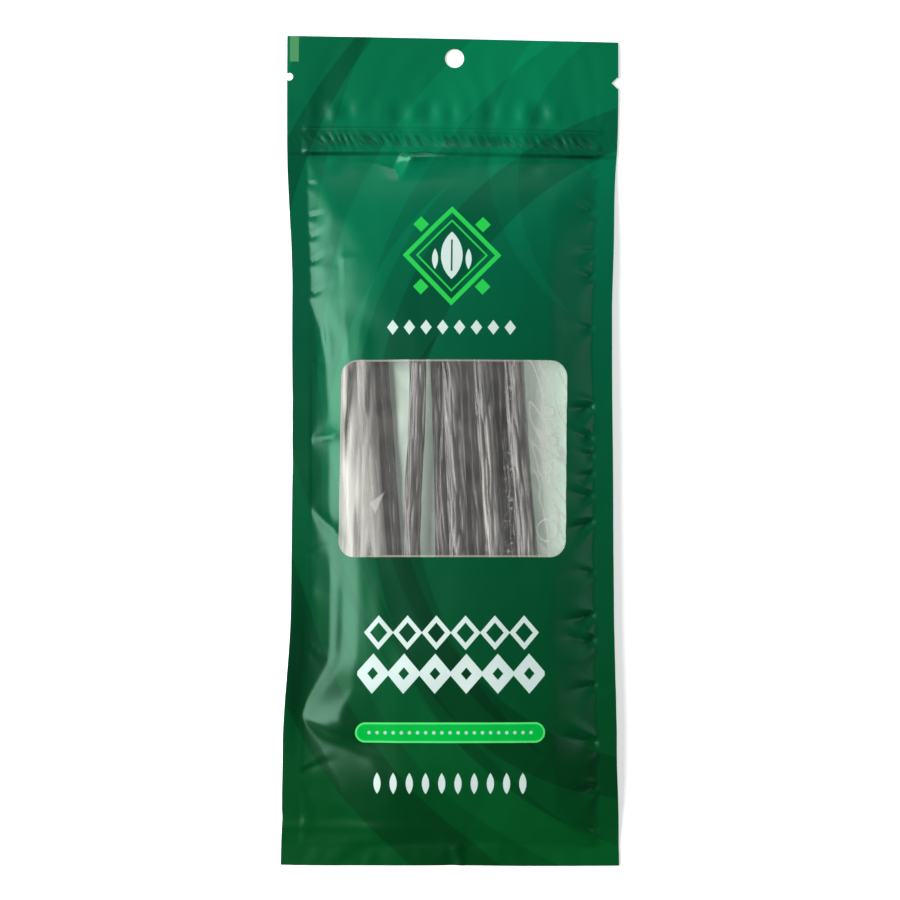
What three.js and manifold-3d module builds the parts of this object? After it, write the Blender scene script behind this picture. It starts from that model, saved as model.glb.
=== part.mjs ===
// A flat zip pouch of vanilla pods, lying on its back. The film pouch has heat sealed edges, a sealed header with a
// hang hole, two tear notches and a press-to-close zip. A clear window shows the ten pods that lie inside it.
// Millimetres. +Y runs to the top of the pouch and +Z up, out of its front. The origin is on the surface that the
// pouch lies on, under its centre.

import * as THREE from "three";
import { mergeVertices } from "three/addons/utils/BufferGeometryUtils.js";
import Module from "manifold-3d";

const wasm = await Module();
wasm.setup();

// The flat pouch
const pouchWidth = 110;
const pouchLength = 272;
const wall = 0.6; // one film
const sealWidth = 6; // side and bottom seals
const headerHeight = 12; // top seal
const sidePull = 2.4; // how far the filled pouch draws its sides in

// How it swells
const restHeight = 0.7; // the seal's mid plane at both ends
const seamHeight = 4.6; // and beside the contents
const frontRise = 7;
const backDrop = 6; // before the surface below flattens it
const frontLean = 0.2; // the front stands higher on its left side
const puckerPitch = 23;
const puckerTurn = 1.8; // by which the right side's puckers are out of step with the left's
const puckerDepth = 0.4; // share of the swell that a pucker takes away at the seal
const puckerFrom = 0.55; // share of the way to the seal where puckers start
const puckerTo = 0.95; // and where they are at their deepest
const sealGap = 0.2; // the cavity's height where the films meet

// Heights along the pouch
const bottomEdge = -pouchLength / 2;
const topEdge = pouchLength / 2;
const cavityBottom = bottomEdge + sealWidth;
const cavityTop = topEdge - headerHeight;
const fullFrom = -101; // the contents fill the pouch from here
const fullTo = 46; // to here
const flatFrom = 60; // the seals come down again from here
const flatTo = 122; // to here
const zipHeight = 101.7;
const zipSwell = 0.12; // what is left of the swell at the zip

// How finely the films are drawn
const columns = 18;
const rows = 46;
const throughAll = 30; // length of what cuts through the pouch

// Zip, hang hole and tear notches
const ribSpacing = 7.5;
const ribRadius = 1.1;
const ribProud = 0.55;
const holeRadius = 3.25;
const holeFromTop = 6.6;
const notchFromTop = 13;
const notchDepth = 2.3;
const notchRadius = 1.6;

// Window
const windowWidth = 74;
const windowLength = 64;
const windowRadius = 5.5;
const windowCentre = { x: 0.3, y: -3 };
const windowGap = 0.3; // between the window film and its frame

// Pods: the centre's x at the top end, the window's top, its bottom and the lower end, then the ends in y, the
// width and the layer, 0 below and 1 above
const podThickness = 4.3;
const podLift = 3.4; // from the lower layer to the upper
const podClearance = 0.35;
const podHook = 2.4; // how far the stem's end bends aside
const hookShare = 0.06; // of the pod's length
const podStem = { width: 0.38, share: 0.12 }; // width at the end, and the share of the pod that it widens over
const podTip = { width: 0.5, share: 0.07 };
const podSides = 10;
const podStations = 18;
const podRidge = 0.07; // depth of the lengthwise ridges, as a share of the pod's radius
const podRows = [
  { across: [-37.6, -33.2, -28.4, -24], from: 73, to: -108, width: 6.8, layer: 0 },
  { across: [-30.6, -27.6, -23.2, -18], from: 78, to: -110, width: 6.8, layer: 1 },
  { across: [-25.8, -23, -18.3, -13], from: 71, to: -109, width: 6.2, layer: 0 },
  { across: [-12.4, -10.3, -12.2, -8.5], from: 80, to: -111, width: 6, layer: 1 },
  { across: [-5.6, -3.6, -2, -1.6], from: 76, to: -108, width: 5.8, layer: 0 },
  { across: [-0.6, 0.6, 3.2, 4], from: 79, to: -110, width: 7, layer: 1 },
  { across: [4.9, 5.7, 9.4, 11.4], from: 72, to: -109, width: 6.8, layer: 0 },
  { across: [10.5, 10.7, 14.9, 18], from: 77, to: -111, width: 7, layer: 1 },
  { across: [15.8, 15.8, 20, 23.6], from: 74, to: -107, width: 6.4, layer: 0 },
  { across: [21.5, 20.9, 25.2, 29], from: 78, to: -105, width: 7.2, layer: 1 },
];

const printedFilm = new THREE.MeshStandardMaterial({ color: 0x006040, roughness: 0.35, metalness: 0 });
const clearFilm = new THREE.MeshStandardMaterial({
  color: 0xc4d6c8, roughness: 0.2, metalness: 0, transparent: true, opacity: 0.35,
});
const podSkin = new THREE.MeshStandardMaterial({ color: 0x2b2022, roughness: 0.5, metalness: 0 });

function smooth(from, to, value) {
  return THREE.MathUtils.smoothstep(value, from, to);
}

// How full the pouch is at y, from 0 at its ends to 1 beside the contents
function swell(y) {
  return smooth(cavityBottom - 1, fullFrom, y) * (1 - (1 - zipSwell) * smooth(fullTo, zipHeight - 2, y));
}

function halfWidth(y) {
  return pouchWidth / 2 - sidePull * swell(y);
}

function cavityHalf(y) {
  return halfWidth(y) - sealWidth;
}

function seamPlane(y) {
  return restHeight + (seamHeight - restHeight) * smooth(bottomEdge, fullFrom, y) * (1 - smooth(flatFrom, flatTo, y));
}

// The share of the swell at a point: round across the pouch, and pinched by puckers along the side seals
function swellAt(x, y) {
  if (y <= cavityBottom || y >= cavityTop) return 0;
  const s = Math.min(1, Math.abs(x) / cavityHalf(y));
  const wave = 0.5 + 0.5 * Math.cos((2 * Math.PI * y) / puckerPitch + (x < 0 ? 0 : puckerTurn));
  const pinch = 1 - puckerDepth * wave ** 3 * smooth(puckerFrom, puckerTo, s);
  return (1 - s ** 3) * swell(y) * pinch;
}

function frontSwell(x, y) {
  return frontRise * swellAt(x, y) * (1 - (frontLean * x) / cavityHalf(y));
}

function backSwell(x, y) {
  return backDrop * swellAt(x, y);
}

const frontFace = (x, y) => seamPlane(y) + wall + frontSwell(x, y);
const backFace = (x, y) => Math.max(0, seamPlane(y) - wall - backSwell(x, y));
const roof = (x, y) => seamPlane(y) + sealGap / 2 + frontSwell(x, y);
const floor = (x, y) => Math.max(wall - sealGap / 2, seamPlane(y) - sealGap / 2 - backSwell(x, y));

function evenly(from, to, count) {
  return Array.from({ length: count + 1 }, (_, i) => THREE.MathUtils.lerp(from, to, i / count));
}

function solidOf(geometry) {
  const bare = geometry.clone();
  bare.deleteAttribute("normal");
  bare.deleteAttribute("uv");
  const merged = mergeVertices(bare, 1e-4);
  return new wasm.Manifold(
    new wasm.Mesh({
      numProp: 3,
      vertProperties: merged.attributes.position.array,
      triVerts: new Uint32Array(merged.index.array),
    }),
  );
}

function meshOf(name, solid, material) {
  const { numProp, vertProperties, triVerts } = solid.getMesh();
  const geometry = new THREE.BufferGeometry();
  const stored = new THREE.InterleavedBuffer(vertProperties, numProp);
  geometry.setAttribute("position", new THREE.InterleavedBufferAttribute(stored, 3, 0));
  geometry.setIndex(new THREE.BufferAttribute(triVerts, 1));
  const plain = geometry.toNonIndexed();
  plain.computeVertexNormals();
  const mesh = new THREE.Mesh(plain, material);
  mesh.name = name;
  return mesh;
}

// A closed sheet on a grid of shares across (-1 to 1 of half(y)) and heights along, from bottom(x, y) to top(x, y)
function gridSolid(shares, heights, half, top, bottom) {
  const across = shares.length - 1;
  const along = heights.length - 1;
  const box = new THREE.BoxGeometry(across, along, 1, across, along, 1);
  const places = box.attributes.position;
  for (let i = 0; i < places.count; i++) {
    const y = heights[Math.round(places.getY(i) + along / 2)];
    const x = shares[Math.round(places.getX(i) + across / 2)] * half(y);
    places.setXYZ(i, x, y, places.getZ(i) > 0 ? top(x, y) : bottom(x, y));
  }
  return solidOf(box);
}

function outerSolid() {
  const inner = (pouchWidth / 2 - sealWidth) / (pouchWidth / 2);
  const shares = [-1, ...evenly(-inner, inner, columns), 1];
  const heights = [bottomEdge, ...evenly(cavityBottom, cavityTop, rows), topEdge];
  return gridSolid(shares, heights, halfWidth, frontFace, backFace);
}

function cavitySolid() {
  return gridSolid(evenly(-1, 1, columns), evenly(cavityBottom, cavityTop, rows), cavityHalf, roof, floor);
}

// A rounded rectangle round the window's centre, shrunk by gap, from inside the cavity to above the front
function windowPrism(gap) {
  const halfX = windowWidth / 2 - gap;
  const halfY = windowLength / 2 - gap;
  const radius = windowRadius - gap;
  const outline = new THREE.Shape();
  outline.absarc(halfX - radius, halfY - radius, radius, 0, Math.PI / 2);
  outline.absarc(radius - halfX, halfY - radius, radius, Math.PI / 2, Math.PI);
  outline.absarc(radius - halfX, radius - halfY, radius, Math.PI, 1.5 * Math.PI);
  outline.absarc(halfX - radius, radius - halfY, radius, 1.5 * Math.PI, 2 * Math.PI);
  const prism = new THREE.ExtrudeGeometry(outline, { depth: throughAll, bevelEnabled: false, curveSegments: 5 });
  prism.translate(windowCentre.x, windowCentre.y, seamHeight + 1);
  return solidOf(prism);
}

function upright(radius, x, y) {
  const cylinder = new THREE.CylinderGeometry(radius, radius, throughAll, 24);
  cylinder.rotateX(Math.PI / 2);
  cylinder.translate(x, y, 0);
  return solidOf(cylinder);
}

// A rounded slot that runs in from one side edge
function notch(side) {
  const y = topEdge - notchFromTop;
  const inner = halfWidth(y) - notchDepth + notchRadius;
  const slot = new THREE.BoxGeometry(2 * notchRadius, 2 * notchRadius, throughAll);
  slot.translate(side * (inner + notchRadius), y, 0);
  return upright(notchRadius, side * inner, y).add(solidOf(slot));
}

// One rib of the zip, along the cavity's width, standing proud of a face
function zipRib(y, z) {
  const bar = new THREE.CylinderGeometry(ribRadius, ribRadius, 2 * cavityHalf(y) - 1, 10);
  bar.rotateZ(Math.PI / 2);
  bar.translate(0, y, z);
  return solidOf(bar);
}

function zipRibs() {
  const ribs = [];
  for (const end of [-1, 1]) {
    const y = zipHeight + (end * ribSpacing) / 2;
    ribs.push(zipRib(y, frontFace(0, y) + ribProud - ribRadius));
  }
  return ribs;
}

function buildPouch(outer, cavity) {
  let pouch = outer.subtract(cavity);
  for (const rib of zipRibs()) pouch = pouch.add(rib);
  pouch = pouch.subtract(windowPrism(0));
  pouch = pouch.subtract(upright(holeRadius, 0, topEdge - holeFromTop));
  for (const side of [-1, 1]) pouch = pouch.subtract(notch(side));
  return meshOf("pouch", pouch, printedFilm);
}

function buildWindow(outer, cavity) {
  return meshOf("window_film", outer.subtract(cavity).intersect(windowPrism(windowGap)), clearFilm);
}

// The share of a pod's full width that is left at a share of its length from one end
function widthNear(end, along) {
  return end.width + (1 - end.width) * smooth(0, end.share, along);
}

// A long flattened pod with lengthwise ridges, drawn in at both ends and hooked at its stem
function buildPod(row, index) {
  const { across, from, to, width, layer } = row;
  const windowTop = windowCentre.y + windowLength / 2;
  const windowBottom = windowCentre.y - windowLength / 2;
  const route = new THREE.CatmullRomCurve3([
    new THREE.Vector3(across[0], from, 0),
    new THREE.Vector3(across[1], windowTop, 0),
    new THREE.Vector3(across[2], windowBottom, 0),
    new THREE.Vector3(across[3], to, 0),
  ]);
  const pod = new THREE.CylinderGeometry(1, 1, 1, podSides, podStations);
  const places = pod.attributes.position;
  for (let i = 0; i < places.count; i++) {
    const along = 0.5 - places.getY(i);
    const turn = Math.atan2(places.getZ(i), places.getX(i));
    const reach = Math.hypot(places.getX(i), places.getZ(i));
    const centre = route.getPoint(along);
    const taper = widthNear(podStem, along) * widthNear(podTip, 1 - along);
    const isValley = Math.round((turn * podSides) / (2 * Math.PI)) % 2 !== 0;
    const ridge = isValley ? 1 - podRidge : 1;
    const spread = reach * taper * ridge;
    const outerX = Math.abs(centre.x) + (width / 2) * taper;
    const base = floor(outerX, centre.y) + podClearance;
    const lift = layer * podLift * swell(centre.y);
    const hook = podHook * (1 - smooth(0, hookShare, along)) * (index % 2 === 0 ? 1 : -0.4);
    places.setXYZ(
      i,
      centre.x + hook + (width / 2) * spread * Math.cos(turn),
      centre.y,
      base + lift + (podThickness / 2) * (taper + spread * Math.sin(turn)),
    );
  }
  return meshOf("pod_" + String(index + 1).padStart(2, "0"), solidOf(pod), podSkin);
}

const outer = outerSolid();
const cavity = cavitySolid();
const model = new THREE.Group();
model.add(buildPouch(outer, cavity));
model.add(buildWindow(outer, cavity));
podRows.forEach((row, index) => model.add(buildPod(row, index)));

export default model;
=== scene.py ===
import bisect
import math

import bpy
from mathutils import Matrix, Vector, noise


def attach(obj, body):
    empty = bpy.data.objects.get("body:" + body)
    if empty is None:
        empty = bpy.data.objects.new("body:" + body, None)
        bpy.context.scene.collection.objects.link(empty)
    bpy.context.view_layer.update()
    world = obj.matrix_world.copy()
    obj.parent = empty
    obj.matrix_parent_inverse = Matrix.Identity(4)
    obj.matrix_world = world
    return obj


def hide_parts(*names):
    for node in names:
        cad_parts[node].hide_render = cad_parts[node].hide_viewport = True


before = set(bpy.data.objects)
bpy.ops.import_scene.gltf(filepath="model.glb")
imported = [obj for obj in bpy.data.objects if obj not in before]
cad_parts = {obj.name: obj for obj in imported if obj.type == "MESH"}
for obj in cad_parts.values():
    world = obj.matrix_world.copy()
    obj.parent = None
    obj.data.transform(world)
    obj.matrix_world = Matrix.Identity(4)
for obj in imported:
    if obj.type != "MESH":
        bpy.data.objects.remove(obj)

# A flat zip pouch of vanilla pods. The film is cut flat, laid over the pods and relaxed as cloth, and
# its print follows the flat cut. Lengths are in metres. The print and the film's relief are worked out
# in millimetres of the flat cut.

mm = 0.001
scene = bpy.context.scene
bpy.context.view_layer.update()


def report(text):
    print("scene:", text)


def addObject(name, data):
    thing = bpy.data.objects.new(name, data)
    scene.collection.objects.link(thing)
    return thing


def objectMode():
    bpy.ops.object.mode_set(mode="OBJECT")


def takeUp(*things):  # leaves only these objects selected, the first one active
    bpy.ops.object.select_all(action="DESELECT")
    for thing in things:
        thing.select_set(True)
    bpy.context.view_layer.objects.active = things[0]


def applyModifiers(thing):
    takeUp(thing)
    for modifier in list(thing.modifiers):
        bpy.ops.object.modifier_apply(modifier=modifier.name)


def subdivide(thing, levels):
    modifier = thing.modifiers.new("Subdivision", "SUBSURF")
    modifier.levels = modifier.render_levels = levels
    modifier.boundary_smooth = "PRESERVE_CORNERS"
    applyModifiers(thing)


def setAll(thing, values):
    for name, value in values.items():
        setattr(thing, name, value)


def pick(mesh, parts, wanted):  # selects only the wanted ones of a mesh's vertices or polygons
    for kind in (mesh.vertices, mesh.edges, mesh.polygons):
        kind.foreach_set("select", [False] * len(kind))
    for part in getattr(mesh, parts):
        part.select = wanted(part)


def editMode(kind):
    bpy.ops.object.mode_set(mode="EDIT")
    bpy.ops.mesh.select_mode(type=kind)


def weld(threshold):  # merges the doubles of the active thing, and stays in edit mode
    editMode("VERT")
    bpy.ops.mesh.select_all(action="SELECT")
    bpy.ops.mesh.remove_doubles(threshold=threshold)


def ease(start, end, value):  # 0 before start, 1 after end and smooth between them
    share = min(1, max(0, (value - start) / (end - start)))
    return share * share * (3 - 2 * share)


def bell(value, width):
    return math.exp(-((value / width) ** 2))


def wander(x, y, z=0.0):  # smooth noise from -1 to 1
    return noise.noise(Vector((x, y, z)))


# Shader maths

def feed(tree, place, value):
    if isinstance(value, Link):
        tree.links.new(value.socket, place)
    elif value is not None:
        place.default_value = value


def combine(tree, operation, *values):
    node = tree.nodes.new("ShaderNodeMath")
    node.operation = operation
    for place, value in zip(node.inputs, values):
        feed(tree, place, value)
    return Link(tree, node.outputs[0])


def bothWays(operation):  # an operator and its reflected form
    def forward(self, other):
        return combine(self.tree, operation, self, other)

    def reflected(self, other):
        return combine(self.tree, operation, other, self)

    return forward, reflected


class Link:  # a socket that is used like a number
    def __init__(self, tree, socket):
        self.tree = tree
        self.socket = socket

    __add__, __radd__ = bothWays("ADD")
    __sub__, __rsub__ = bothWays("SUBTRACT")
    __mul__, __rmul__ = bothWays("MULTIPLY")
    __truediv__, __rtruediv__ = bothWays("DIVIDE")
    __pow__, __rpow__ = bothWays("POWER")

    def __abs__(self):
        return combine(self.tree, "ABSOLUTE", self)

    def least(self, other):
        return combine(self.tree, "MINIMUM", self, other)

    def most(self, other):
        return combine(self.tree, "MAXIMUM", self, other)

    def within(self):  # held between 0 and 1
        return self.least(1.0).most(0.0)

    def nearest(self, spacing):  # distance to the nearest multiple of spacing
        return combine(self.tree, "PINGPONG", self, spacing * 0.5)


class Finish:  # a material and the nodes that are added to it
    def __init__(self, name):
        self.material = bpy.data.materials.new(name)
        self.material.use_nodes = True
        self.tree = self.material.node_tree
        self.tree.nodes.clear()

    def node(self, kind, settings=None, inputs=None, output=0):
        node = self.tree.nodes.new("ShaderNode" + kind)
        for name, value in (settings or {}).items():
            if name == "stops":
                ramp = node.color_ramp
                while len(ramp.elements) < len(value):
                    ramp.elements.new(0.5)
                for element, (place, colour) in zip(ramp.elements, value):
                    element.position = place
                    element.color = colour
            else:
                setattr(node, name, value)
        for name, value in (inputs or {}).items():
            feed(self.tree, node.inputs[name], value)
        return Link(self.tree, node.outputs[output])

    def mix(self, factor, first, second):
        return self.node("Mix", {"data_type": "RGBA"}, {0: factor, 6: first, 7: second}, 2)

    def uvPlace(self, layer):  # the two values of a UV map
        across = self.node("SeparateXYZ", None, {0: self.node("UVMap", {"uv_map": layer})})
        return across, Link(self.tree, across.socket.node.outputs[1])

    def flatPlace(self):  # the place on the flat cut in millimetres
        across, up = self.uvPlace("flat")
        return (across - 0.5) * 300.0, (up - 0.5) * 300.0

    def place(self, x, y, z):
        return self.node("CombineXYZ", None, {0: x, 1: y, 2: z})

    def cloud(self, place, detail, scale=1.0, roughness=None):  # noise from 0 to 1
        inputs = {"Vector": place, "Scale": scale, "Detail": detail, "Roughness": roughness}
        return self.node("TexNoise", None, inputs)

    def patch(self, x, y, scale, detail, seed):
        return self.cloud(self.place(x * scale, y * scale, seed), detail)

    def bump(self, strength, height):
        return self.node("Bump", None, {"Strength": strength, "Distance": 0.0004, "Height": height})

    def coated(self, inputs):
        output = self.tree.nodes.new("ShaderNodeOutputMaterial")
        shader = self.node("BsdfPrincipled", None, inputs)
        self.tree.links.new(shader.socket, output.inputs["Surface"])
        return self.material


def inked(distance, soft=0.12):  # 1 where a signed distance is negative, with a soft edge
    return (0.5 - distance / soft).within()


def farOut(x, y):  # the distance from a centre
    return (x**2.0 + y**2.0) ** 0.5


def lozenge(x, y, across, up):  # signed distance to a diamond, close to true
    return (abs(x) / across + abs(y) / up - 1.0) * (across * up / math.hypot(across, up))


def oval(x, y, across, up):  # signed distance to an upright pointed oval
    radius = (across**2 + up**2) / (2 * across)
    return farOut(abs(x) + (radius - across), y) - radius


def capsule(x, y, across, up):
    return farOut((abs(x) - (across - up)).most(0.0), y) - up


def ring(x, y, radius, half):
    return abs(farOut(x, y) - radius) - half


def triangle(x, y, corners):  # signed distance to the nearest side, for corners that run clockwise
    outside = None
    for (fromX, fromY), (toX, toY) in zip(corners, corners[1:] + corners[:1]):
        length = math.hypot(toX - fromX, toY - fromY)
        off = ((y - fromY) * (toX - fromX) - (x - fromX) * (toY - fromY)) / length
        outside = off if outside is None else outside.most(off)
    return outside


def crescent(x, y, radius, shiftX, shiftY):  # a circle without the same circle shifted
    hollow = farOut(x - shiftX, y - shiftY) - radius
    return (farOut(x, y) - radius).most(0.0 - hollow)


# Materials

film = {
    # the print's green, darker towards the bottom as painted shade
    "greens": [  # green and blue up the pouch, from its bottom edge to its top edge
        (0.0, 0.058, 0.010),
        (0.15, 0.056, 0.013),
        (0.27, 0.062, 0.019),
        (0.42, 0.074, 0.026),
        (0.62, 0.084, 0.037),
        (0.80, 0.112, 0.051),
        (0.87, 0.136, 0.060),
        (1.0, 0.134, 0.054),
    ],
    "paleInk": (0.56, 0.68, 0.66, 1),
    "brightInk": (0.02, 0.52, 0.07, 1),
    "brightEdge": (0.10, 0.68, 0.17, 1),
    "barInk": (0.0, 0.42, 0.05, 1),
    "markInk": (0.07, 0.25, 0.10, 1),
    "sheen": (0.52, 1.0, 0.82, 1),
    "shine": 0.34,
    # painted shade along the zip track, under its ribs and over its band, and painted shade in its crimped
    # grooves
    "zipPaintedShade": [(101.8, 3.4, 0.26), (97.4, 0.6, 0.85), (106.0, 0.2, 0.6)],  # height, half width, strength
    "zipPaintedGrooveShade": (101.8, 1.9, 0.34),
    "roughness": 0.30,
    "sweeps": [  # crescents: centre, radius, shift of the circle that hollows it, and its tone
        (92, 2, 118, 13, -9, 0.72),
        (112, 18, 158, 12, -12, 1.22),
        (150, 60, 214, 17, -11, 0.80),
        (74, 96, 62, 10, -8, 1.18),
        (66, -22, 92, 9, 12, 0.70),
        (92, -12, 136, 10, 10, 1.24),
        (118, 10, 196, 15, 12, 0.68),
        (80, -150, 78, 12, 3, 1.08),
    ],
}
emblem = {  # in millimetres, as all of the print
    "height": 62.8,
    "lines": [(15.4, 0.75), (11.6, 0.28)],  # half size and half line of each diamond
    "corner": (10.3, 2.6),
    "leaf": (3.6, 7.8),
    "vein": (0.28, 5.2),
    "sideLeaf": (5.6, 1.2, 1.0, 3.4),
}
printRows = [  # outline, height, spacing, half sizes, half line where it isn't filled, and reach
    (lozenge, 39.3, 5.6, 1.9, 2.4, 0, 22.4),
    (lozenge, -59.4, 9.6, 3.9, 4.4, 0.75, 28.8),
    (lozenge, -72.5, 10.2, 3.7, 4.2, 1.45, 30.6),
    (oval, -107.7, 5.2, 1.15, 3.5, 0, 26.0),
]
bar = {"height": -91.3, "half": (30.6, 3.3), "edge": 0.28, "dots": (2.6, 0.55, 27.2)}
mark = {"place": -52.6, "half": 1.45, "foot": 127.4}
panel = {"height": 10.0, "half": (38.0, 37.9), "line": 0.35}


# besides the print, this paints shade: darker towards the bottom, and along the zip track
def greenGround(art, x, y):  # the deep green with broad arcs of other tones
    stops = [(place, (0.0004, green, blue, 1)) for place, green, blue in film["greens"]]
    ground = art.node("ValToRGB", {"stops": stops}, {0: y / 272.0 + 0.5})
    shade = None
    for centreX, centreY, radius, shiftX, shiftY, tone in film["sweeps"]:
        mask = inked(crescent(x - centreX, y - centreY, radius, shiftX, shiftY), 0.4)
        part = mask * (tone - 1.0) + 1.0
        shade = part if shade is None else shade * part
    cloudy = art.patch(x, y, 0.02, 3.0, 4.0)
    shade = shade * (cloudy * 0.24 + 0.88)
    # how strong the painted shade along the zip track is, uneven and stronger towards its ends
    unevenZipShade = art.patch(x, y * 0.0, 0.13, 2.0, 8.0) * 0.7 + ((abs(x) - 20.0) / 28.0).within() * 0.5
    unevenZipShade = unevenZipShade * (inked(abs(x) - 48.0, 3.0) * 0.7 + 0.3)
    for place, half, depth in film["zipPaintedShade"]:
        shade = shade * (1.0 - inked(abs(y - place) - half, 0.7) * unevenZipShade * depth)
    # painted shade in the grooves of the zip's crimp
    place, half, depth = film["zipPaintedGrooveShade"]
    paintedGrooveShade = ((0.53 - art.patch(x + (y - place) * 0.5, y * 0.12, 0.62, 1.0, 14.0)) * 9.0).within()
    paintedGrooveShade = inked(abs(y - place) - half, 1.2) * inked(abs(x) - 47.0, 1.0) * paintedGrooveShade
    shade = shade * (1.0 - paintedGrooveShade * depth)
    return art.node("VectorMath", {"operation": "SCALE"}, {0: ground, "Scale": shade})


def filmFinish(art, x, y, colour):
    grain = art.patch(x, y, 0.9, 3.0, 1.0)
    dents = art.patch(x, y, 0.11, 2.0, 7.0)
    scuff = art.patch(x, y, 0.05, 4.0, 2.0)
    return art.coated({
        "Base Color": colour,
        "Roughness": scuff * 0.10 + (film["roughness"] - 0.05),
        "IOR": 1.5,
        "Specular IOR Level": film["shine"],
        "Specular Tint": film["sheen"],
        "Normal": art.bump(0.10, grain * 0.25 + dents),
    })


def backFilm():
    art = Finish("printed_back")
    x, y = art.flatPlace()
    line = abs(capsule(x, y - panel["height"], *panel["half"])) - panel["line"]
    colour = art.mix(inked(line), greenGround(art, x, y), film["brightInk"])
    return filmFinish(art, x, y, colour)


def drawEmblem(x, y):  # its bright diamonds, and its pale leaves
    place, half = emblem["corner"]
    bright = inked(lozenge(abs(x) - place, abs(y) - place, half, half))
    for size, line in emblem["lines"]:
        bright = bright.most(inked(abs(lozenge(x, y, size, size)) - line))
    half, reach = emblem["vein"]
    vein = inked(abs(x) - half) * inked(abs(y) - reach)
    place, drop, across, up = emblem["sideLeaf"]
    sideLeaf = inked(oval(abs(x) - place, y + drop, across, up))
    return bright, (inked(oval(x, y, *emblem["leaf"])) * (1.0 - vein)).most(sideLeaf)


def drawBar(x, y):  # its whole shape, its edge and its dots
    shape = capsule(x, y, *bar["half"])
    spacing, radius, reach = bar["dots"]
    dots = inked(ring(x.nearest(spacing), y, 0.0, radius)) * inked(abs(x) - reach)
    return inked(shape), inked(abs(shape + 0.35) - bar["edge"]), dots


def printedFilm():
    art = Finish("printed_film")
    x, y = art.flatPlace()
    bright, pale = drawEmblem(x, y - emblem["height"])
    for outline, height, spacing, across, up, line, reach in printRows:
        shape = outline((x + spacing / 2).nearest(spacing), y - height, across, up)
        shape = abs(shape) - line if line else shape
        pale = pale.most(inked(shape) * inked(abs(x) - reach))
    whole, edge, dots = drawBar(x, y - bar["height"])
    spot = inked(abs(x - mark["place"]) - mark["half"]) * inked(mark["foot"] - y)
    colour = art.mix(bright, greenGround(art, x, y), film["brightInk"])
    colour = art.mix(whole, colour, film["barInk"])
    colour = art.mix(edge, colour, film["brightEdge"])
    colour = art.mix((dots * 0.75).most(pale), colour, film["paleInk"])
    colour = art.mix(spot, colour, film["markInk"])
    return filmFinish(art, x, y, colour)


backing = {
    "shades": ((0.62, 0.80, 0.71, 1), (0.73, 0.88, 0.79, 1)),
    # a faint painted glow on the lining, standing in for the light that comes in through the window
    "paintedGlow": (0.80, 0.95, 0.80, 1),
    "paintedGlowStrength": 0.08,
    "roughness": 0.42,
}


def filmLining():  # the pale backing of the ink, seen from inside
    lining = Finish("film_lining")
    x, y = lining.flatPlace()
    cloudy = lining.patch(x, y, 0.08, 3.0, 5.0)
    return lining.coated({
        "Base Color": lining.mix(cloudy, *backing["shades"]),
        "Roughness": backing["roughness"],
        "Emission Color": backing["paintedGlow"],
        "Emission Strength": backing["paintedGlowStrength"],
    })


window = {
    "centre": (0.4 * mm, -3.2 * mm),
    "half": (38 * mm, 32 * mm),
    "radius": 5.5 * mm,
    "lean": 0.012,
}
pane = {
    "haze": (0.64, 0.63, 0.60, 1),
    "clearest": 0.05,
    "leftHazeAndPaintedReflection": 0.50,
    "bareTo": 35.5,
    "fold": [(-22.3, -14.3), (-25.3, -21.1), (-27.0, -17.8)],
    "foldPaintedHighlight": 0.24,
    "edgeHaze": 0.32,
    "stripFrom": 25.0,
    "stripHaze": 0.14,
    "curls": 0.30,
    "curlsAt": 19.5,
    "roughness": 0.30,
    "shine": 0.16,
    "rings": [(33.0, 11.9, 1.6), (34.0, 2.7, 1.7), (32.0, -26.5, 3.6)],
}


def windowDistance(x, y):  # to the window's outline in millimetres, negative inside
    centreX, centreY = (value / mm for value in window["centre"])
    halfX, halfY = (value / mm for value in window["half"])
    radius = window["radius"] / mm
    outX = abs(x - centreX - (y - centreY) * window["lean"]) - (halfX - radius)
    outY = abs(y - centreY) - (halfY - radius)
    return farOut(outX.most(0.0), outY.most(0.0)) + outX.most(outY).least(0.0) - radius


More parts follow.
